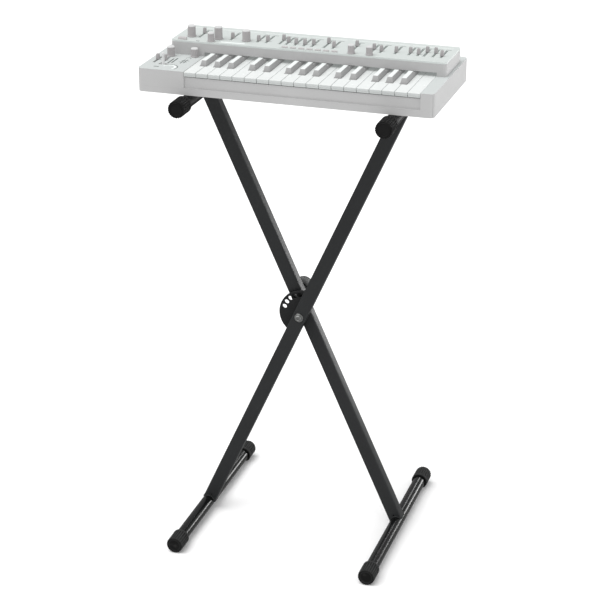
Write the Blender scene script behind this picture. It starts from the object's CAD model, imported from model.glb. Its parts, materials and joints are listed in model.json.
import json
import math

import bmesh
import bpy
from mathutils import Matrix, Vector


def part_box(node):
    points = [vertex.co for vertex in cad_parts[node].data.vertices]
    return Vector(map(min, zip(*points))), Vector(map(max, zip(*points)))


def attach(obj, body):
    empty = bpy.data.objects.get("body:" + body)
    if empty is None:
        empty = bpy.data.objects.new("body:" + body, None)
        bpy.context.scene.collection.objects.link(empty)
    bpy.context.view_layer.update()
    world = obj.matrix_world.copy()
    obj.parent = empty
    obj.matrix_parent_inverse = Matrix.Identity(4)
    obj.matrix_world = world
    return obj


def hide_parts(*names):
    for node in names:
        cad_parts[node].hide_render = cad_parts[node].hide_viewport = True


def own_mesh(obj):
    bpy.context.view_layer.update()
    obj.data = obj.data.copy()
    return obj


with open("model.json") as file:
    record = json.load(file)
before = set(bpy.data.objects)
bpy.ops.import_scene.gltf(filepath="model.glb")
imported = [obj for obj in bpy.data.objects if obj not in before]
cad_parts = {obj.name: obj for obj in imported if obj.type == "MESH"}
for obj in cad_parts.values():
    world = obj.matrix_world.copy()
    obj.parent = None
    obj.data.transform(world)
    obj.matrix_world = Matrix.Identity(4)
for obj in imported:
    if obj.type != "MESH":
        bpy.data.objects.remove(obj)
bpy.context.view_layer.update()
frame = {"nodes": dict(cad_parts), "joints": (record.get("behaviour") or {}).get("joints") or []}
nodes = frame["nodes"]
joints = {joint["name"]: joint for joint in frame["joints"]}
mm = 0.001
print("frame loaded with", len(nodes), "nodes")


# Finishes

def tone(text):  # "#rrggbb" as linear light
    channels = [int(text[i:i + 2], 16) / 255 for i in (1, 3, 5)]
    return [c / 12.92 if c <= 0.04045 else ((c + 0.055) / 1.055) ** 2.4 for c in channels] + [1]


class Wire:  # the output of a node, with arithmetic
    def __init__(self, finish, socket):
        self.finish = finish
        self.socket = socket

    def maths(self, operation, first, second):
        return self.finish.node("ShaderNodeMath", {"operation": operation}, {0: first, 1: second})

    def __add__(self, other):
        return self.maths("ADD", self, other)

    def __radd__(self, other):
        return self.maths("ADD", other, self)

    def __sub__(self, other):
        return self.maths("SUBTRACT", self, other)

    def __rsub__(self, other):
        return self.maths("SUBTRACT", other, self)

    def __mul__(self, other):
        return self.maths("MULTIPLY", self, other)

    def __rmul__(self, other):
        return self.maths("MULTIPLY", other, self)


class Finish:  # a material round one principled shader
    def __init__(self, name, fixed):
        self.material = bpy.data.materials.new(name)
        self.material.use_nodes = True
        self.tree = self.material.node_tree
        self.shader = self.tree.nodes["Principled BSDF"]
        for socket, value in fixed.items():
            self.shader.inputs[socket].default_value = value
        self.where = self.node("ShaderNodeTexCoord", out="Object")

    def node(self, kind, settings=None, inputs=None, out=0):
        made = self.tree.nodes.new(kind)
        for name, value in (settings or {}).items():
            setattr(made, name, value)
        for name, value in (inputs or {}).items():
            self.feed(made.inputs[name], value)
        return Wire(self, made.outputs[out])

    def feed(self, socket, value):
        if isinstance(value, Wire):
            self.tree.links.new(value.socket, socket)
        else:
            socket.default_value = value

    def noise(self, scale, detail=2, stretch=(1, 1, 1)):
        placed = self.where
        if stretch != (1, 1, 1):
            placed = self.node("ShaderNodeMapping", None, {"Vector": self.where, "Scale": stretch})
        return self.node("ShaderNodeTexNoise", None, {"Vector": placed, "Scale": scale, "Detail": detail})

    def cells(self, scale):
        return self.node("ShaderNodeTexVoronoi", None, {"Vector": self.where, "Scale": scale})

    def between(self, value, low, high):  # 0 below low, 1 above high
        return self.node("ShaderNodeMapRange", None, {"Value": value, "From Min": low, "From Max": high})

    def mix(self, mask, first, second):
        return self.node("ShaderNodeMix", {"data_type": "RGBA"}, {0: mask, 6: first, 7: second}, 2)

    def edges(self, radius):  # 1 on outer edges sharper than the radius
        soft = self.node("ShaderNodeBevel", {"samples": 4}, {"Radius": radius})
        true = self.node("ShaderNodeNewGeometry", out="Normal")
        same = self.node("ShaderNodeVectorMath", {"operation": "DOT_PRODUCT"}, {0: soft, 1: true}, "Value")
        return 1 - self.between(same, 0.86, 0.985)

    def facingUp(self):
        normal = self.node("ShaderNodeTexCoord", out="Normal")
        height = self.node("ShaderNodeSeparateXYZ", None, {"Vector": normal}, "Z")
        return self.between(height, 0.75, 0.95)

    def facingAlong(self):  # 1 where the surface faces the front or the rear
        normal = self.node("ShaderNodeTexCoord", out="Normal")
        depth = self.node("ShaderNodeSeparateXYZ", None, {"Vector": normal}, "Y")
        return self.between(depth * depth, 0.75, 0.92)

    def above(self, level, blend):  # 1 where the surface is higher than level
        height = self.node("ShaderNodeSeparateXYZ", None, {"Vector": self.where}, "Z")
        return self.between(height, level - blend, level)

    def colour(self, value):
        self.feed(self.shader.inputs["Base Color"], value)

    def rough(self, value):
        self.feed(self.shader.inputs["Roughness"], value)

    def relief(self, height, distance):
        bump = self.node("ShaderNodeBump", None, {"Height": height, "Distance": distance})
        self.feed(self.shader.inputs["Normal"], bump)


def coatedSteel(name, look):  # baked powder coat with a fine orange peel
    coat = Finish(name, {"Specular IOR Level": look["shine"]})
    peel = coat.noise(look["peelScale"], 3)
    cloud = coat.noise(11, 2)
    chips = coat.edges(look["edge"]) * coat.between(coat.noise(160, 3), 0.45, 0.7)
    dust = coat.between(coat.noise(420, 4), 0.6, 0.85)
    base = coat.mix(cloud, tone(look["dark"]), tone(look["light"]))
    dusty = coat.mix(dust * look["dustiness"], base, tone(look["dust"]))
    coat.colour(coat.mix(chips * look["wear"], dusty, tone(look["bare"])))
    coat.rough(look["rough"] + (peel - 0.5) * 0.14 + dust * look["dustiness"])
    coat.relief(peel + dust * look["dustiness"], look["peelDepth"] * mm)
    return coat


def mouldedRubber(name, look):
    rubber = Finish(name, {"Specular IOR Level": 0.35})
    grain = rubber.cells(look["grainScale"])
    scuffs = rubber.between(rubber.noise(90, 5, (1, 3, 1)), 0.55, 0.75)
    cloud = rubber.mix(rubber.noise(30, 3), tone(look["dark"]), tone(look["light"]))
    crests = rubber.between(rubber.node("ShaderNodeNewGeometry", out="Pointiness"), 0.485, 0.505)
    side = rubber.mix(crests, tone(look["groove"]), cloud)
    base = rubber.mix(rubber.facingAlong(), side, tone(look["face"]))
    rubber.colour(rubber.mix(scuffs * 0.35 + rubber.edges(0.5 * mm) * 0.3, base, tone(look["scuff"])))
    rubber.rough(0.62 + scuffs * 0.15 + (grain - 0.3) * 0.1)
    rubber.relief(grain + scuffs * 0.3, 0.06 * mm)
    return rubber


def platedSteel(name, look):  # zinc plate with turning marks and dull spots
    plate = Finish(name, {"Metallic": 1.0})
    lines = plate.noise(900, 3, look["brush"])
    spots = plate.between(plate.noise(240, 4), 0.5, 0.75)
    base = plate.mix(spots, tone(look["light"]), tone(look["dull"]))
    plate.colour(plate.mix(plate.edges(0.4 * mm) * 0.5, base, tone(look["bare"])))
    plate.rough(look["rough"] + lines * 0.15 + spots * 0.1)
    plate.relief(lines, 0.02 * mm)
    return plate


def mouldedPlastic(name, look):  # spark-grained moulding, paler where it faces up if top is given
    fixed = {"Specular IOR Level": look.get("shine", 0.4), "Emission Strength": look.get("glow", 0.0)}
    plastic = Finish(name, fixed)
    if look.get("glow"):
        plastic.shader.inputs["Emission Color"].default_value = tone(look["light"])
    grain = plastic.noise(look["grainScale"], 3)
    cloud = plastic.noise(14, 3)
    smears = plastic.between(plastic.noise(55, 5), 0.55, 0.8)
    base = plastic.mix(cloud, tone(look["dark"]), tone(look["light"]))
    if "top" in look:
        lid = plastic.facingUp() * plastic.above(look["topFrom"], 0.4 * mm)
        base = plastic.mix(lid, base, tone(look["top"]))
    worn = plastic.edges(look.get("edge", 0.6) * mm) * plastic.between(plastic.noise(130, 3), 0.3, 0.7)
    plastic.colour(plastic.mix(worn * look.get("wear", 0.3), base, tone(look["worn"])))
    plastic.rough(look["rough"] + smears * 0.08 + (grain - 0.5) * 0.1)
    plastic.relief(grain, look["grain"] * mm)
    return plastic


def boardFinish():  # green lacquer over copper tracks
    look = {"lacquer": "#2f6a46", "track": "#4b8a5c", "pad": "#b9a468"}
    board = Finish("boardFinish", {"Specular IOR Level": 0.5})
    tracks = board.between(board.noise(60, 1, (1, 4, 1)), 0.52, 0.54)
    pads = 1 - board.between(board.cells(190), 0.16, 0.2)
    base = board.mix(tracks, tone(look["lacquer"]), tone(look["track"]))
    board.colour(board.mix(pads, base, tone(look["pad"])))
    board.rough(0.3 + pads * 0.1)
    board.relief(tracks + pads, 0.05 * mm)
    return board


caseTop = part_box("top_case")[1].z
legCoat = coatedSteel("legCoat", {
    "dark": "#232425", "light": "#282a2b", "dust": "#6c6c6a", "dustiness": 0.12, "bare": "#8a8b8b",
    "wear": 0.25, "edge": 0.9 * mm, "shine": 0.5, "rough": 0.38, "peelScale": 620, "peelDepth": 0.09})
discCoat = coatedSteel("discCoat", {
    "dark": "#1b1c1d", "light": "#212223", "dust": "#6c6c6a", "dustiness": 0.12, "bare": "#9a9b9b",
    "wear": 0.5, "edge": 0.7 * mm, "shine": 0.4, "rough": 0.45, "peelScale": 620, "peelDepth": 0.07})
tubeCoat = coatedSteel("tubeCoat", {
    "dark": "#0a0b0b", "light": "#0f1010", "dust": "#5c5c5c", "dustiness": 0.02, "bare": "#8a8b8b",
    "wear": 0.2, "edge": 0.6 * mm, "shine": 0.6, "rough": 0.2, "peelScale": 90, "peelDepth": 0.004})
armCoat = coatedSteel("armCoat", {
    "dark": "#070808", "light": "#0b0c0c", "dust": "#5c5c5c", "dustiness": 0.03, "bare": "#8a8b8b",
    "wear": 0.2, "edge": 0.6 * mm, "shine": 0.25, "rough": 0.5, "peelScale": 300, "peelDepth": 0.02})
footRubber = mouldedRubber("footRubber", {
    "dark": "#242525", "light": "#303131", "groove": "#0c0c0c", "face": "#0c0c0c", "scuff": "#4a4a49",
    "grainScale": 1500})
armRubber = mouldedRubber("armRubber", {
    "dark": "#060606", "light": "#0d0d0d", "groove": "#020202", "face": "#121212", "scuff": "#222222",
    "grainScale": 1500})
zincSteel = platedSteel("zincSteel", {
    "light": "#c2c3c2", "dull": "#9b9d9c", "bare": "#e4e4e4", "rough": 0.36, "brush": (1, 1, 8)})
springSteel = platedSteel("springSteel", {
    "light": "#8f9194", "dull": "#6c6e70", "bare": "#c0c0c0", "rough": 0.3, "brush": (1, 1, 1)})
bedSteel = platedSteel("bedSteel", {
    "light": "#a9acab", "dull": "#8b8e8d", "bare": "#d0d0d0", "rough": 0.4, "brush": (6, 1, 1)})
gripPlastic = mouldedPlastic("gripPlastic", {
    "dark": "#636464", "light": "#6c6d6d", "worn": "#a8a8a8", "wear": 0.5, "rough": 0.42, "grainScale": 1400,
    "grain": 0.03})
casePlastic = mouldedPlastic("casePlastic", {
    "dark": "#9d9d9d", "light": "#a5a5a5", "worn": "#787a7a", "wear": 0.5, "edge": 0.9, "rough": 0.5,
    "grainScale": 1100, "grain": 0.035, "glow": 0.3, "shine": 0.3, "top": "#b4b9b8",
    "topFrom": caseTop - 0.6 * mm})
panelPaint = mouldedPlastic("panelPaint", {
    "dark": "#b6bcba", "light": "#bdc2c0", "worn": "#8f9391", "wear": 0.5, "rough": 0.42, "grainScale": 1500,
    "grain": 0.015, "glow": 0.22, "shine": 0.3})
controlPlastic = mouldedPlastic("controlPlastic", {
    "dark": "#969494", "light": "#9f9c9d", "worn": "#d0d0d0", "wear": 0.4, "rough": 0.45, "grainScale": 1600,
    "grain": 0.02, "glow": 0.2, "shine": 0.3})
controlTops = mouldedPlastic("controlTops", {
    "dark": "#bbbcbc", "light": "#c4c4c4", "worn": "#dcdcdc", "wear": 0.3, "rough": 0.35, "grainScale": 1600,
    "grain": 0.015, "glow": 0.25, "shine": 0.3})
buttonPlastic = mouldedPlastic("buttonPlastic", {
    "dark": "#aba8a8", "light": "#b3b0b0", "worn": "#dcd8d8", "wear": 0.3, "rough": 0.38, "grainScale": 1600,
    "grain": 0.015, "glow": 0.25, "shine": 0.3})
whiteKeys = mouldedPlastic("whiteKeys", {
    "dark": "#adb1b0", "light": "#b5b8b7", "worn": "#cccfce", "wear": 0.3, "rough": 0.24, "grainScale": 900,
    "grain": 0.006, "glow": 0.2, "shine": 0.35, "top": "#d6d9d8",
    "topFrom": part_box("white_key_01")[1].z - 0.3 * mm})
blackKeys = mouldedPlastic("blackKeys", {
    "dark": "#949494", "light": "#9c9c9c", "worn": "#c8c8c8", "wear": 0.3, "rough": 0.4, "grainScale": 1000,
    "grain": 0.01, "glow": 0.22, "shine": 0.3, "top": "#dde1e0",
    "topFrom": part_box("black_key_01")[1].z - 0.3 * mm})
darkPrint = mouldedPlastic("darkPrint", {
    "dark": "#525957", "light": "#5a615f", "worn": "#737977", "wear": 0.2, "rough": 0.5, "grainScale": 1800,
    "grain": 0.01, "glow": 0.2, "shine": 0.2})
palePrint = mouldedPlastic("palePrint", {
    "dark": "#d4dad8", "light": "#dde2e0", "worn": "#cfd3d1", "wear": 0.2, "rough": 0.5, "grainScale": 1800,
    "grain": 0.01, "glow": 0.25, "shine": 0.2})
boardGreen = boardFinish()
print("finishes mixed")


# Mesh helpers. Rings run along the near side, then back along its mirror, so that ends close in strips

class Shape:
    def __init__(self):
        self.points = []
        self.faces = []

    def loft(self, rings, closed=False):
        start, size = len(self.points), len(rings[0])
        for ring in rings:
            self.points += ring
        pairs = list(zip(range(len(rings) - 1), range(1, len(rings))))
        if closed:
            pairs.append((len(rings) - 1, 0))
        for low, high in pairs:
            a, b = start + low * size, start + high * size
            for i in range(size):
                j = (i + 1) % size
                self.faces.append((a + i, a + j, b + j, b + i))
        if not closed:
            for base, turned in ((start, True), (start + (len(rings) - 1) * size, False)):
                for i in range(size // 2 - 1):
                    strip = (base + i, base + i + 1, base + size - 2 - i, base + size - 1 - i)
                    self.faces.append(strip[::-1] if turned else strip)


def bar(width, depth, corner, arcSteps=4, sideSteps=1):  # ring of a rounded rectangle
    x, y = width / 2 - corner, depth / 2 - corner
    near = []
    for i in range(arcSteps + 1):
        angle = math.pi * (1 + i / arcSteps / 2)
        near.append((-x + corner * math.cos(angle), -y + corner * math.sin(angle)))
    near += [(-x + 2 * x * i / sideSteps, -depth / 2) for i in range(1, sideSteps)]
    for i in range(arcSteps + 1):
        angle = math.pi * (1.5 + i / arcSteps / 2)
        near.append((x + corner * math.cos(angle), -y + corner * math.sin(angle)))
    return near + [(u, -v) for u, v in reversed(near)]


def circle(radius, steps, ribs=0, depth=0.0):  # ring of a circle, with rounded ribs if asked
    ring = []
    for i in range(2 * steps):
        angle = math.pi + (i + 0.5) * math.pi / steps
        dip = depth * abs(math.sin(angle * ribs / 2)) ** 1.2 if ribs else 0
        ring.append(((radius - depth + dip) * math.cos(angle), (radius - depth + dip) * math.sin(angle)))
    return ring


def raised(place, flat, height):  # a flat ring lifted to a height and put in place
    return [place @ Vector((u, v, height)) for u, v in flat]


def pointing(origin, direction):  # a frame at origin whose Z runs along direction
    return Matrix.Translation(origin) @ Vector(direction).to_track_quat("Z", "Y").to_matrix().to_4x4()


def turned(shape, place, profile, steps=32, ribs=0, closed=False):  # profile is (radius, height, rib depth)
    rings = []
    for stop in profile:
        depth = stop[2] * mm if len(stop) > 2 else 0
        rings.append(raised(place, circle(stop[0] * mm, steps, ribs if depth else 0, depth), stop[1] * mm))
    shape.loft(rings, closed)


def pillow(shape, place, width, depth, height, corner, edge, crown=0.0):  # a block with rolled edges
    stops = [(edge, 0), (edge * 0.3, edge * 0.3), (0, edge), (0, height - edge)]
    stops += [(edge * 0.3, height - edge * 0.3), (edge, height), (edge * 2.2, height + crown)]
    rings = []
    for inset, level in stops:
        flat = bar((width - 2 * inset) * mm, (depth - 2 * inset) * mm, max(corner - inset, 0.1) * mm)
        rings.append(raised(place, flat, level * mm))
    shape.loft(rings)


def ribbon(shape, path, width, level, thick=0.07):  # a printed line along a flat path, in mm
    rings = []
    for i, (x, y) in enumerate(path):
        before, after = path[max(i - 1, 0)], path[min(i + 1, len(path) - 1)]
        along = Vector((after[0] - before[0], after[1] - before[1], 0)).normalized()
        side = Vector((-along.y, along.x, 0)) * width / 2
        centre = Vector((x, y, 0))
        low, high = Vector((0, 0, -0.05)), Vector((0, 0, thick))
        corners = [centre - side + low, centre + side + low, centre + side + high, centre - side + high]
        rings.append([corner * mm + Vector((0, 0, level)) for corner in corners])
    shape.loft(rings)


def arc(x, y, radius, first, last, steps=16):
    angles = [math.radians(first + (last - first) * i / steps) for i in range(steps + 1)]
    return [(x + radius * math.cos(a), y + radius * math.sin(a)) for a in angles]


def evenly(path, count):  # points at equal steps round a closed path
    loop = path + [path[0]]
    lengths = [0]
    for a, b in zip(loop, loop[1:]):
        lengths.append(lengths[-1] + (b - a).length)
    found, k = [], 0
    for i in range(count):
        goal = lengths[-1] * i / count
        while lengths[k + 1] < goal:
            k += 1
        share = (goal - lengths[k]) / max(lengths[k + 1] - lengths[k], 1e-9)
        found.append(loop[k].lerp(loop[k + 1], share))
    return found


def bead(shape, path, radius):  # a weld bead laid round a closed path, with its ripples
    route = evenly(path, 110)
    middle = sum(route, Vector()) / len(route)
    rings = []
    for i, point in enumerate(route):
        ahead = (route[(i + 1) % len(route)] - route[i - 1]).normalized()
        out = point - middle
        out = (out - ahead * out.dot(ahead)).normalized()
        other = ahead.cross(out)
        size = radius * (1 + 0.16 * math.sin(i * 1.9) + 0.07 * math.sin(i * 0.61))
        turns = [2 * math.pi * k / 8 for k in range(8)]
        rings.append([point + (out * math.cos(t) + other * math.sin(t)) * size for t in turns])
    shape.loft(rings, closed=True)


def meshObject(name, shape):
    mesh = bpy.data.meshes.new(name)
    mesh.from_pydata(shape.points, [], shape.faces)
    work = bmesh.new()
    work.from_mesh(mesh)
    bmesh.ops.recalc_face_normals(work, faces=work.faces)
    work.to_mesh(mesh)
    work.free()
    made = bpy.data.objects.new(name, mesh)
    bpy.context.scene.collection.objects.link(made)
    return made


def baked(source, name):  # a new mesh of an object as its modifiers leave it
    bpy.context.view_layer.update()
    evaluated = source.evaluated_get(bpy.context.evaluated_depsgraph_get())
    mesh = bpy.data.meshes.new_from_object(evaluated)
    mesh.name = name
    return mesh


def carve(target, shape):  # cuts a closed shape out of an object
    cutter = meshObject("cutter", shape)
    cut = target.modifiers.new("cut", "BOOLEAN")
    cut.object = cutter
    cut.solver = "EXACT"
    mesh = baked(target, target.name)
    target.modifiers.clear()
    target.data = mesh
    bpy.data.objects.remove(cutter)


def finishPiece(made, finish, body, standsFor=(), sharp=33):
    made.data.materials.clear()
    made.data.materials.append(finish.material)
    made.data.shade_smooth()
    made.data.set_sharp_from_angle(angle=math.radians(sharp))
    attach(made, body)
    if standsFor:
        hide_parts(*standsFor)
    return made


def piece(name, shape, finish, body, standsFor=(), sharp=33):
    return finishPiece(meshObject(name, shape), finish, body, standsFor, sharp)


def solidsOf(node):  # the box of each separate solid of a node, from left to right
    work = bmesh.new()
    work.from_mesh(nodes[node].data)
    bmesh.ops.remove_doubles(work, verts=work.verts, dist=1e-6)
    seen, found = set(), []
    for start in work.verts:
        if start in seen:
            continue
        seen.add(start)
        group, queue = [], [start]
        while queue:
            vert = queue.pop()
            group.append(vert.co.copy())
            for edge in vert.link_edges:
                other = edge.other_vert(vert)
                if other not in seen:
                    seen.add(other)
                    queue.append(other)
        low = Vector([min(p[k] for p in group) for k in range(3)])
        high = Vector([max(p[k] for p in group) for k in range(3)])
        found.append((low, high))
    work.free()
    return sorted(found, key=lambda box: tuple(box[0]))


# Stand

pivot = Vector(joints["scissor_fold"]["pos_m"])
leftFoot = Vector(joints["left_foot_turn"]["pos_m"])
rightArm = Vector(joints["arm_pad_turn"]["pos_m"])
legLine = Vector((rightArm.x - leftFoot.x, 0, rightArm.z - leftFoot.z))
lean = math.atan2(legLine.x, legLine.z)
tubeRadius = 12.5


def makeLeg(name, tilt, body):
    look = {"width": 26.5, "corner": 2.6, "endGap": 5, "ventUp": 16.5, "vent": 1.75, "bead": 0.9}
    low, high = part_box(name)
    middle = Vector((pivot.x, (low.y + high.y) / 2, pivot.z))
    place = Matrix.Translation(middle) @ Matrix.Rotation(tilt, 4, "Y")
    half = legLine.length / 2
    section = bar(look["width"] * mm, high.y - low.y, look["corner"] * mm, 5, 20)

    def coped(side):  # the end that sits over the round tube
        ends = []
        for u, v in section:
            rise = math.sqrt(max(tubeRadius ** 2 - (u / mm) ** 2, 0))
            ends.append(place @ Vector((u, v, side * (half - max(look["endGap"], rise) * mm))))
        return ends

    levels = [-half + 22 * mm, -half / 2, 0, half / 2, half - 22 * mm]
    shape = Shape()
    shape.loft([coped(-1)] + [raised(place, section, level) for level in levels] + [coped(1)])
    made = meshObject(name + "_tube", shape)
    ventAt = place @ Vector((0, (low.y - high.y) / 2 - mm, look["ventUp"] * mm - half))
    hole = Shape()
    turned(hole, pointing(ventAt, (0, 1, 0)), [(look["vent"], 0), (look["vent"], 5)], 16)
    carve(made, hole)
    finishPiece(made, legCoat, body, [name])
    welds = Shape()
    for side in (-1, 1):
        bead(welds, coped(side), look["bead"] * mm)
    piece(name + "_welds", welds, legCoat, body, (), 60)


makeLeg("front_leg", lean, "front_frame")
makeLeg("rear_leg", -lean, "rear_frame")
print("legs made")


def makeTube(name, body, finish):  # a foot or arm tube, with rolled lips
    look = {"wall": 1.5, "lip": 0.4}
    low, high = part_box(name)
    place = pointing(Vector(((low.x + high.x) / 2, low.y, (low.z + high.z) / 2)), (0, 1, 0))
    length, outer, lip = (high.y - low.y) / mm, tubeRadius, look["lip"]
    inner = outer - look["wall"]
    profile = [(inner, lip), (inner + lip, 0), (outer - lip, 0), (outer, lip)]
    profile += [(outer, length * k / 8) for k in range(1, 8)]
    profile += [(outer, length - lip), (outer - lip, length), (inner + lip, length), (inner, length - lip)]
    shape = Shape()
    turned(shape, place, profile, 40, closed=True)
    piece(name + "_bar", shape, finish, body, [name])


for tubeName, tubeBody, tubeFinish in (
        ("left_foot_tube", "front_frame", tubeCoat), ("right_foot_tube", "rear_frame", tubeCoat),
        ("right_arm_tube", "front_frame", armCoat), ("left_arm_tube", "rear_frame", armCoat)):
    makeTube(tubeName, tubeBody, tubeFinish)


def makeCaps(name, body, finish):  # two ribbed rubber caps, one on each end of a tube
    look = {"radius": 16.5, "length": 37.5, "ribs": 22, "rib": 1.6, "end": 3, "bore": 12.55}
    low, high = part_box(name)
    x, z = (low.x + high.x) / 2, (low.z + high.z) / 2
    r, length, rib = look["radius"], look["length"], look["rib"]
    profile = [(10.6, 0.7), (11.3, 0.1), (12.1, 0), (12.7, 0.6), (r - 2.2, 0.6), (r - 1.8, 0.1)]
    profile += [(r - 1.3, 0.05), (r - 0.7, 0.4, rib * 0.6), (r - 0.2, 1.0, rib), (r, 2.2, rib)]
    profile += [(r, length / 2, rib), (r, length - 6, rib), (r, length - 5.2, rib * 0.5), (r, length - 4.6)]
    profile += [(r, length - 1.6), (r - 0.3, length - 0.8)]
    profile += [(r - 0.9, length - 0.2), (r - 1.6, length), (look["bore"] + 0.5, length)]
    profile += [(look["bore"], length - 0.6), (look["bore"], look["end"])]
    shape = Shape()
    turned(shape, pointing(Vector((x, low.y, z)), (0, 1, 0)), profile, 120, look["ribs"])
    turned(shape, pointing(Vector((x, high.y, z)), (0, -1, 0)), profile, 120, look["ribs"])
    piece(name + "_ribbed", shape, finish, body, [name], 40)


for capName, capBody, capFinish in (
        ("left_foot_caps", "floor_caps", footRubber), ("right_foot_caps", "rear_frame", footRubber),
        ("left_arm_caps", "rear_frame", armRubber), ("right_arm_caps", "arm_pads", armRubber)):
    makeCaps(capName, capBody, capFinish)
print("tubes and caps made")


def makeDisc():  # the stamped half disc with its ring of lock holes
    look = {"radius": 47, "flat": 12.25, "ring": 38, "hole": 4.8, "step": 16.5, "folded": 42, "edge": 0.7}
    low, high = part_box("adjuster_disc")
    thick = (high.y - low.y) / mm
    curve = bpy.data.curves.new("adjuster_disc_plate", "CURVE")
    curve.dimensions = "2D"
    curve.fill_mode = "BOTH"
    curve.resolution_u = 1
    curve.extrude = (thick / 2 - look["edge"]) * mm
    curve.bevel_depth = look["edge"] * mm
    curve.offset = -look["edge"] * mm
    curve.bevel_resolution = 2
    start = math.acos(look["flat"] / look["radius"])
    rim = [start + (2 * math.pi - 2 * start) * i / 90 for i in range(91)]
    outline = [(look["radius"] * math.cos(t), look["radius"] * math.sin(t)) for t in rim]
    middle = math.pi / 2 + lean
    outlines = [[(u * math.cos(lean) + v * math.sin(lean), v * math.cos(lean) - u * math.sin(lean))
                 for u, v in outline]]
    holeAngles = [middle + math.radians(look["step"]) * k for k in range(-1, 4)]
    holeAngles.append(middle - math.radians(look["folded"]))
    for angle in holeAngles:
        x, z = look["ring"] * math.cos(angle), look["ring"] * math.sin(angle)
        turns = [math.pi * k / 14 for k in range(28)]
        outlines.append([(x + look["hole"] * math.cos(t), z + look["hole"] * math.sin(t)) for t in turns])
    for points in outlines:
        spline = curve.splines.new("POLY")
        spline.points.add(len(points) - 1)
        for target, (x, z) in zip(spline.points, points):
            target.co = (x * mm, z * mm, 0, 1)
        spline.use_cyclic_u = True
    drawn = bpy.data.objects.new("disc_drawing", curve)
    bpy.context.scene.collection.objects.link(drawn)
    mesh = baked(drawn, "adjuster_disc_plate")
    bpy.data.objects.remove(drawn)
    place = Matrix.Translation((pivot.x, (low.y + high.y) / 2, pivot.z))
    mesh.transform(place @ Matrix.Rotation(math.pi / 2, 4, "X"))
    made = bpy.data.objects.new("adjuster_disc_plate", mesh)
    bpy.context.scene.collection.objects.link(made)
    weld = made.modifiers.new("weld", "WELD")
    weld.merge_threshold = 0.01 * mm
    made.data = baked(made, "adjuster_disc_plate")
    made.modifiers.clear()
    finishPiece(made, discCoat, "front_frame", ["adjuster_disc"], 30)


makeDisc()


def makePivot():  # bolt with a domed socket head, three washers and a nut
    look = {"head": 6.3, "socket": 2.9, "shank": 4, "nutFlats": 13}
    low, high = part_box("pivot_bolt")
    bolt = pointing(Vector((pivot.x, low.y, pivot.z)), (0, 1, 0))
    length = (high.y - low.y) / mm
    head, socket, shank = look["head"], look["socket"], look["shank"]
    profile = [(1.8, 2.4), (socket - 0.2, 2.3), (socket, 1.9), (socket, 0.5), (socket + 0.4, 0.1)]
    profile += [(head - 2.2, 0), (head - 1.0, 0.35), (head - 0.3, 1.1), (head, 2.2), (head, 4.6)]
    profile += [(head - 0.4, 5), (shank, 5), (shank, length - 1), (shank - 0.8, length)]
    shape = Shape()
    turned(shape, bolt, profile, 32)
    piece("pivot_bolt_head", shape, zincSteel, "front_frame", ["pivot_bolt"])
    washers = Shape()
    for solidLow, solidHigh in solidsOf("pivot_washers"):
        outer, thick = (solidHigh.x - solidLow.x) / 2 / mm, (solidHigh.y - solidLow.y) / mm
        place = pointing(Vector((pivot.x, solidLow.y, pivot.z)), (0, 1, 0))
        edge = min(0.3, thick / 4)
        ring = [(4.2, edge), (4.2 + edge, 0), (outer - edge, 0), (outer, edge), (outer, thick - edge)]
        ring += [(outer - edge, thick), (4.2 + edge, thick), (4.2, thick - edge)]
        turned(washers, place, ring, 32, closed=True)
    piece("pivot_washer_set", washers, zincSteel, "front_frame", ["pivot_washers"])
    low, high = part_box("pivot_nut")
    place = pointing(Vector((pivot.x, low.y, pivot.z)), (0, 1, 0))
    height, across = (high.y - low.y) / mm, look["nutFlats"] / 2

    def hexRing(reach, level):  # a hexagon cut back to a circle of that reach
        points = []
        for i in range(48):
            angle = math.pi + (i + 0.5) * math.pi / 24
            toFlat = across / math.cos((angle + math.pi / 6) % (math.pi / 3) - math.pi / 6)
            size = min(toFlat, reach) * mm
            points.append(place @ Vector((size * math.cos(angle), size * math.sin(angle), level * mm)))
        return points

    nut = Shape()
    bore = look["shank"] + 0.05
    rings = [raised(place, circle(bore * mm, 24), 0.4 * mm), raised(place, circle((bore + 0.5) * mm, 24), 0)]
    rings += [hexRing(across, 0), hexRing(across + 1.1, 0.6), hexRing(across + 1.1, height - 0.6)]
    rings += [hexRing(across, height), raised(place, circle((bore + 0.5) * mm, 24), height * mm)]
    rings.append(raised(place, circle(bore * mm, 24), (height - 0.4) * mm))
    nut.loft(rings, closed=True)
    piece("pivot_nut_hex", nut, zincSteel, "front_frame", ["pivot_nut"])


makePivot()


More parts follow.
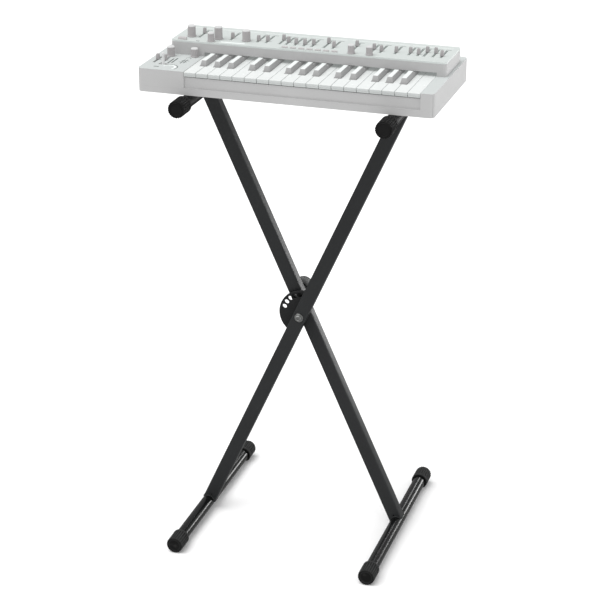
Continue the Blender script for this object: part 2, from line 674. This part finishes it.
def makeLock():  # spring-loaded pull pin: turned housing, pin and fluted knob
    look = {
        "flange": 12.5, "sleeve": 9.5, "bore": 4.6, "pin": 4.4, "collar": 6.3, "knob": 18, "flutes": 30,
        "flute": 1.4}
    low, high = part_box("lock_housing")
    centre = Vector(((low.x + high.x) / 2, 0, (low.z + high.z) / 2))
    length = (high.y - low.y) / mm
    flange, sleeve, bore = look["flange"], look["sleeve"], look["bore"]
    profile = [(sleeve - 3, 0), (flange - 0.5, 0), (flange, 0.5), (flange, 2.5), (flange - 0.5, 3)]
    profile += [(sleeve + 0.8, 3), (sleeve, 3.8), (sleeve, length - 0.6), (sleeve - 0.6, length)]
    profile += [(bore + 0.5, length), (bore, length - 0.5), (bore, length - 3), (sleeve - 3, length - 3)]
    shape = Shape()
    turned(shape, pointing(Vector((centre.x, low.y, centre.z)), (0, 1, 0)), profile, 40, closed=True)
    piece("lock_housing_turned", shape, discCoat, "rear_frame", ["lock_housing"])
    low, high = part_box("lock_pin")
    start = (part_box("lock_housing")[0].y - low.y) / mm + 0.4
    length, pin, collar = (high.y - low.y) / mm, look["pin"], look["collar"]
    profile = [(pin - 1.2, 0), (pin - 0.5, 0.4), (pin, 1.4), (pin, start), (collar - 0.2, start)]
    profile += [(collar, start + 0.2), (collar, start + 1.8), (collar - 0.2, start + 2), (pin, start + 2)]
    profile += [(pin, length - 0.6), (pin - 0.6, length)]
    shape = Shape()
    turned(shape, pointing(Vector((centre.x, low.y, centre.z)), (0, 1, 0)), profile, 32)
    piece("lock_pin_turned", shape, zincSteel, "lock_plunger", ["lock_pin"])
    low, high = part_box("pull_knob")
    length, knob, flute = (high.y - low.y) / mm, look["knob"], look["flute"]
    profile = [(10.2, 12), (10.2, 0.6), (10.8, 0), (knob - 3.5, 0), (knob - 1.4, 0.6), (knob - 0.4, 1.6)]
    profile += [(knob, 3), (knob, 4.2, flute / 2), (knob, 5.4, flute), (knob, length - 5.4, flute)]
    profile += [(knob, length - 4.2, flute / 2), (knob, length - 3), (knob - 0.5, length - 1.6)]
    profile += [(knob - 1.6, length - 0.6), (knob - 3.6, length), (8, length), (7.4, length - 0.7)]
    shape = Shape()
    turned(shape, pointing(Vector((centre.x, low.y, centre.z)), (0, 1, 0)), profile, 108, look["flutes"])
    piece("pull_knob_fluted", shape, gripPlastic, "lock_plunger", ["pull_knob"])


def makeSpring():  # the coil between the pin's collar and the housing, which shortens as the pin is pulled
    look = {"turns": 5, "radius": 5.4, "wire": 0.48, "stop": 27, "shortest": 0.27}
    low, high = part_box("lock_spring")
    middle, wire = (low + high) / 2, look["wire"] * mm
    steps = look["turns"] * 24
    rise = (high.y - low.y - 2 * wire) / steps
    rings = []
    for i in range(steps + 1):
        angle = 2 * math.pi * i / 24
        out = Vector((math.cos(angle), 0, math.sin(angle)))
        centre = Vector((middle.x, low.y + wire + rise * i, middle.z)) + out * look["radius"] * mm
        along = Vector((-out.z, rise * 24 / (2 * math.pi * look["radius"] * mm), out.x)).normalized()
        other = along.cross(out)
        turns = [2 * math.pi * k / 12 for k in range(12)]
        rings.append([centre + (out * math.cos(t) + other * math.sin(t)) * wire for t in turns])
    shape = Shape()
    shape.loft(rings)
    coil = piece("lock_spring_coil", shape, springSteel, "rear_frame", ["lock_spring"], 60)
    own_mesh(coil)


makeLock()
makeSpring()
print("pivot and lock made")


# Keyboard

def dress(name, finish, roll, segments):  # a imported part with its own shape, edges rolled by roll mm
    part = nodes[name]
    part.data.materials.clear()
    part.data.materials.append(finish.material)
    if roll:
        weld = part.modifiers.new("weld", "WELD")
        weld.merge_threshold = 0.005 * mm
        bevel = part.modifiers.new("edges", "BEVEL")
        bevel.width = roll * mm
        bevel.segments = segments
        bevel.limit_method = "ANGLE"
        bevel.angle_limit = math.radians(40)
        bevel.harden_normals = False
        part.modifiers.new("shading", "WEIGHTED_NORMAL")


dressing = {  # finish, roll of the edges in mm, and its steps
    "bottom_case": (casePlastic, 1.2, 3), "top_case": (casePlastic, 1.1, 3),
    "rear_housing": (casePlastic, 1.2, 3), "control_panel": (panelPaint, 0.6, 2),
    "key_bed": (bedSteel, 0, 0), "circuit_board": (boardGreen, 0, 0),
    "white_key": (whiteKeys, 0.5, 3), "black_key": (blackKeys, 0.7, 3)}
for nodeName in sorted(nodes):
    for start, (nodeFinish, nodeRoll, nodeSteps) in dressing.items():
        if nodeName.startswith(start):
            dress(nodeName, nodeFinish, nodeRoll, nodeSteps)
print("case and keys dressed")


def makeKnobs():  # fluted knobs with a pale cap
    look = {"flutes": 24, "flute": 0.35, "capHeight": 2.4, "skirt": 0.8}
    bodies, tops = Shape(), Shape()
    for low, high in solidsOf("rotary_knobs"):
        x, y = (low.x + high.x) / 2, (low.y + high.y) / 2
        r, height = (high.x - low.x) / 2 / mm, (high.z - low.z) / mm
        place = Matrix.Translation((x, y, low.z))
        shoulder, cap, grip = height - look["capHeight"], r - 0.9, r - look["skirt"]
        profile = [(r - 0.4, 0), (r, 0.4), (r, 1.8), (grip, 2.6), (grip, 3.2, look["flute"])]
        profile += [(grip - 0.2, shoulder - 0.8, look["flute"]), (grip - 0.3, shoulder)]
        profile += [(cap - 1.2, shoulder)]
        turned(bodies, place, profile, 72, look["flutes"])
        crown = [(cap - 0.6, shoulder - 0.2), (cap - 0.2, shoulder + 0.3), (cap - 0.2, height - 0.9)]
        crown += [(cap - 0.5, height - 0.3), (cap - 1.1, height), (cap - 2.6, height - 0.15)]
        crown += [(0.6, height - 0.35)]
        turned(tops, place, crown, 32)
    piece("rotary_knob_bodies", bodies, controlPlastic, "instrument", ["rotary_knobs"])
    piece("rotary_knob_tops", tops, controlTops, "instrument")


def makeSliders():  # dished caps on flat stems
    look = {"capHeight": 10.4, "stemWidth": 1.4, "stemDepth": 4, "corner": 1.1}
    caps = Shape()
    for low, high in solidsOf("slider_caps"):
        x, y = (low.x + high.x) / 2, (low.y + high.y) / 2
        width, depth, height = ((high - low) / mm)[:]
        stem = Matrix.Translation((x, y, low.z))
        stemHeight = height - look["capHeight"] + 0.4
        pillow(caps, stem, look["stemWidth"], look["stemDepth"], stemHeight, 0.3, 0.15)
        place = Matrix.Translation((x, y, high.z - look["capHeight"] * mm))
        stops = [(0.5, 0), (0.1, 0.5), (0, 1.2), (0.5, 6), (0.8, 8.9), (1.0, 9.8), (1.5, 10.35)]
        stops += [(2.1, 10.1), (2.8, 9.9)]
        rings = []
        for inset, level in stops:
            corner = max(look["corner"] - inset * 0.3, 0.4) * mm
            flat = bar((width - 1.5 * inset) * mm, (depth - 1.5 * inset) * mm, corner)
            rings.append(raised(place, flat, level * mm))
        caps.loft(rings)
    piece("slider_cap_set", caps, controlPlastic, "instrument", ["slider_caps"])


def makeButtons():
    look = {"corner": 0.9, "edge": 0.5, "crown": 0.2}
    buttons = Shape()
    for low, high in solidsOf("panel_buttons"):
        place = Matrix.Translation(((low.x + high.x) / 2, (low.y + high.y) / 2, low.z))
        width, depth, height = ((high - low) / mm)[:]
        level = height - look["crown"]
        pillow(buttons, place, width, depth, level, look["corner"], look["edge"], look["crown"])
    piece("panel_button_set", buttons, buttonPlastic, "instrument", ["panel_buttons"])


def makeBender():  # a tapered stick with a rounded head
    look = {"neck": 2.3, "head": 3.2}
    low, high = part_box("bender_lever")
    x, y = (low.x + high.x) / 2, (low.y + high.y) / 2
    height = (high.z - low.z) / mm
    reach = (high.x - low.x) / 2 / mm
    neck, head = look["neck"], look["head"]
    profile = [(reach * 0.9, 0), (reach, 0.6), (reach, height * 0.45), (reach * 0.8, height * 0.55)]
    profile += [(neck + 0.2, height * 0.6), (neck, height - 6), (head - 0.3, height - 4.4)]
    profile += [(head, height - 2.4), (head - 0.5, height - 0.7), (head / 2, height - 0.1), (0.5, height)]
    shape = Shape()
    turned(shape, Matrix.Translation((x, y, low.z)), profile, 24)
    piece("bender_stick", shape, controlTops, "bender", ["bender_lever"])


makeKnobs()
makeSliders()
makeButtons()
makeBender()
print("controls made")


def printPanels():  # marks beside the slots and round the knobs, with no lettering
    groups = ((-255, -152), (-147, -117), (-111, -24), (-18, 50), (60, 108), (112, 172), (177, 254))
    look = {  # a stroke is a path and a width, a slot is its half width, its ends and the line's width
        "scaleMarks": 6, "scaleFrom": 36, "scaleStep": 9.2, "scaleWidth": 0.35,
        "panelSlot": (1.6, (33, 85), 0.9), "blockSlot": (1.7, (-64, -22), 1.0),
        "titleAt": 88, "titleWidth": 1.4,
        "dialMarks": 11, "dialFrom": -60, "dialStep": 30, "dialWidth": 0.4,
        "panelDark": [([(-54, 8.4), (60, 8.4)], 0.7), ([(-218, 8.5), (-211, 8.5)], 2.6)],
        "panelPale": [([(first, 100), (last, 100)], 1.2) for first, last in groups]
        + [([(-171, 15), (-124, 15)], 5)],
        "blockDark": [
            ([(-248, -61), (-248, -29)], 2.6), ([(-242, -57), (-242, -25)], 2.6),
            ([(-265, -88.5), (-255, -88)], 3.2), (arc(-238, -86, 18, 110, -32, 24), 1.5),
            ([(-225.5, -57), (-225.5, -29)], 1.7), ([(-220.5, -53), (-220.5, -29)], 1.7),
            ([(-231.5, -47), (-216.5, -45)], 1.7), ([(-229.5, -38), (-214.5, -36)], 1.7),
            (arc(-222.5, -20, 4.5, -40, 200, 20), 1.2)],
        "blockPale": [(arc(-238, -86, 13.5, 145, -38, 24), 3.4)]}
    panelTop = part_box("control_panel")[1].z
    dark, pale = Shape(), Shape()
    for low, high in solidsOf("slider_caps"):
        x, onPanel = (low.x + high.x) / 2 / mm, low.z > caseTop
        edge, ends, width = look["panelSlot"] if onPanel else look["blockSlot"]
        level = panelTop if onPanel else caseTop
        for side in (-1, 1):
            ribbon(dark, [(x + side * edge, y) for y in ends], width, level)
        if onPanel:
            ribbon(dark, [(x - 2.5, look["titleAt"]), (x + 7.5, look["titleAt"])], look["titleWidth"], level)
            for k in range(look["scaleMarks"]):
                y = look["scaleFrom"] + k * look["scaleStep"]
                ribbon(dark, [(x - 5.4, y), (x - 3.4, y)], look["scaleWidth"], level)
    for low, high in solidsOf("rotary_knobs"):
        x, y, r = (low.x + high.x) / 2 / mm, (low.y + high.y) / 2 / mm, (high.x - low.x) / 2 / mm
        level, front = (panelTop, 5) if low.z > caseTop else (caseTop, -30)
        for k in range(look["dialMarks"]):
            angle = math.radians(look["dialFrom"] + look["dialStep"] * k)
            inner, outer = r + 1.2, r + (2.4 if k % 5 else 3.2)
            mark = [(x + d * math.cos(angle), y + d * math.sin(angle)) for d in (inner, outer)]
            if mark[1][1] > front:
                ribbon(dark, mark, look["dialWidth"], level)
    for part, shape, level in (("panelDark", dark, panelTop), ("panelPale", pale, panelTop),
                               ("blockDark", dark, caseTop), ("blockPale", pale, caseTop)):
        for path, width in look[part]:
            ribbon(shape, path, width, level)
    piece("panel_print_dark", dark, darkPrint, "instrument")
    piece("panel_print_pale", pale, palePrint, "instrument")


printPanels()


# Studio

def softbox(name, place, target, width, height, power):
    data = bpy.data.lights.new(name, "AREA")
    data.shape = "RECTANGLE"
    data.size = width
    data.size_y = height
    data.energy = power
    lamp = bpy.data.objects.new(name, data)
    bpy.context.scene.collection.objects.link(lamp)
    lamp.visible_camera = False
    lamp.location = place
    lamp.rotation_euler = (Vector(target) - Vector(place)).to_track_quat("-Z", "Y").to_euler()


def makeStudio():
    look = {
        "floor": 30, "sky": 0.75, "gloss": 0.28, "sun": 2.1, "sunAngle": 60, "sunFrom": (-0.4, -0.2, 1),
        "boxes": {  # place, target, width, height and power
            "right_wall": ((2.6, -0.3, 1.1), (0, 0, 0.6), 1.2, 1.6, 12),
            "rear_panel": ((1.45, 2.6, 0.34), (0, 0, 0.3), 0.7, 0.5, 8),
            "rear_spot": ((0.2, 2.7, 1.45), (0, 0, 0.1), 0.45, 0.3, 2.5)}}
    shape = Shape()
    half = look["floor"] / 2
    corners = bar(look["floor"], look["floor"], half * 0.2, 8)
    shape.loft([[Vector((u, v, -0.02)) for u, v in corners], [Vector((u, v, 0)) for u, v in corners]])
    floor = meshObject("studio_floor", shape)
    paper = Finish("floorPaper", {"Specular IOR Level": 0.0})
    paper.colour(paper.mix(paper.noise(3, 2), tone("#f7f7f7"), tone("#fafafa")))
    paper.rough(0.8 + paper.noise(40, 2) * 0.1)
    floor.data.materials.append(paper.material)
    floor.visible_glossy = False
    world = bpy.data.worlds.new("studio")
    bpy.context.scene.world = world
    world.use_nodes = True
    links, made = world.node_tree.links, world.node_tree.nodes
    back = made["Background"]
    back.inputs["Color"].default_value = (1, 1, 1, 1)
    path, level = made.new("ShaderNodeLightPath"), made.new("ShaderNodeMapRange")
    level.inputs["To Min"].default_value = look["sky"]
    level.inputs["To Max"].default_value = look["gloss"]
    links.new(path.outputs["Is Glossy Ray"], level.inputs["Value"])
    white = made.new("ShaderNodeMath")
    white.operation = "MAXIMUM"
    links.new(level.outputs[0], white.inputs[0])
    links.new(path.outputs["Is Camera Ray"], white.inputs[1])
    links.new(white.outputs[0], back.inputs["Strength"])
    data = bpy.data.lights.new("overhead", "SUN")
    data.energy = look["sun"]
    data.angle = math.radians(look["sunAngle"])
    sun = bpy.data.objects.new("overhead", data)
    bpy.context.scene.collection.objects.link(sun)
    sun.rotation_euler = Vector(look["sunFrom"]).to_track_quat("Z", "Y").to_euler()
    for name, box in look["boxes"].items():
        softbox(name, *box)
    bpy.context.scene.view_settings.view_transform = "Standard"


def makeCamera():
    look = {"target": (-0.0063, -0.0135, 0.475), "azimuth": 17.93, "elevation": 22.90, "distance": 3.6117,
            "lens": 112.17}
    data = bpy.data.cameras.new("camera")
    data.lens = look["lens"]
    data.sensor_width = 36
    camera = bpy.data.objects.new("camera", data)
    bpy.context.scene.collection.objects.link(camera)
    turn, rise = math.radians(look["azimuth"]), math.radians(look["elevation"])
    back = Vector((math.sin(turn) * math.cos(rise), -math.cos(turn) * math.cos(rise), math.sin(rise)))
    camera.location = Vector(look["target"]) + back * look["distance"]
    camera.rotation_euler = (-back).to_track_quat("-Z", "Y").to_euler()
    bpy.context.scene.camera = camera


makeStudio()
makeCamera()
print("studio set")
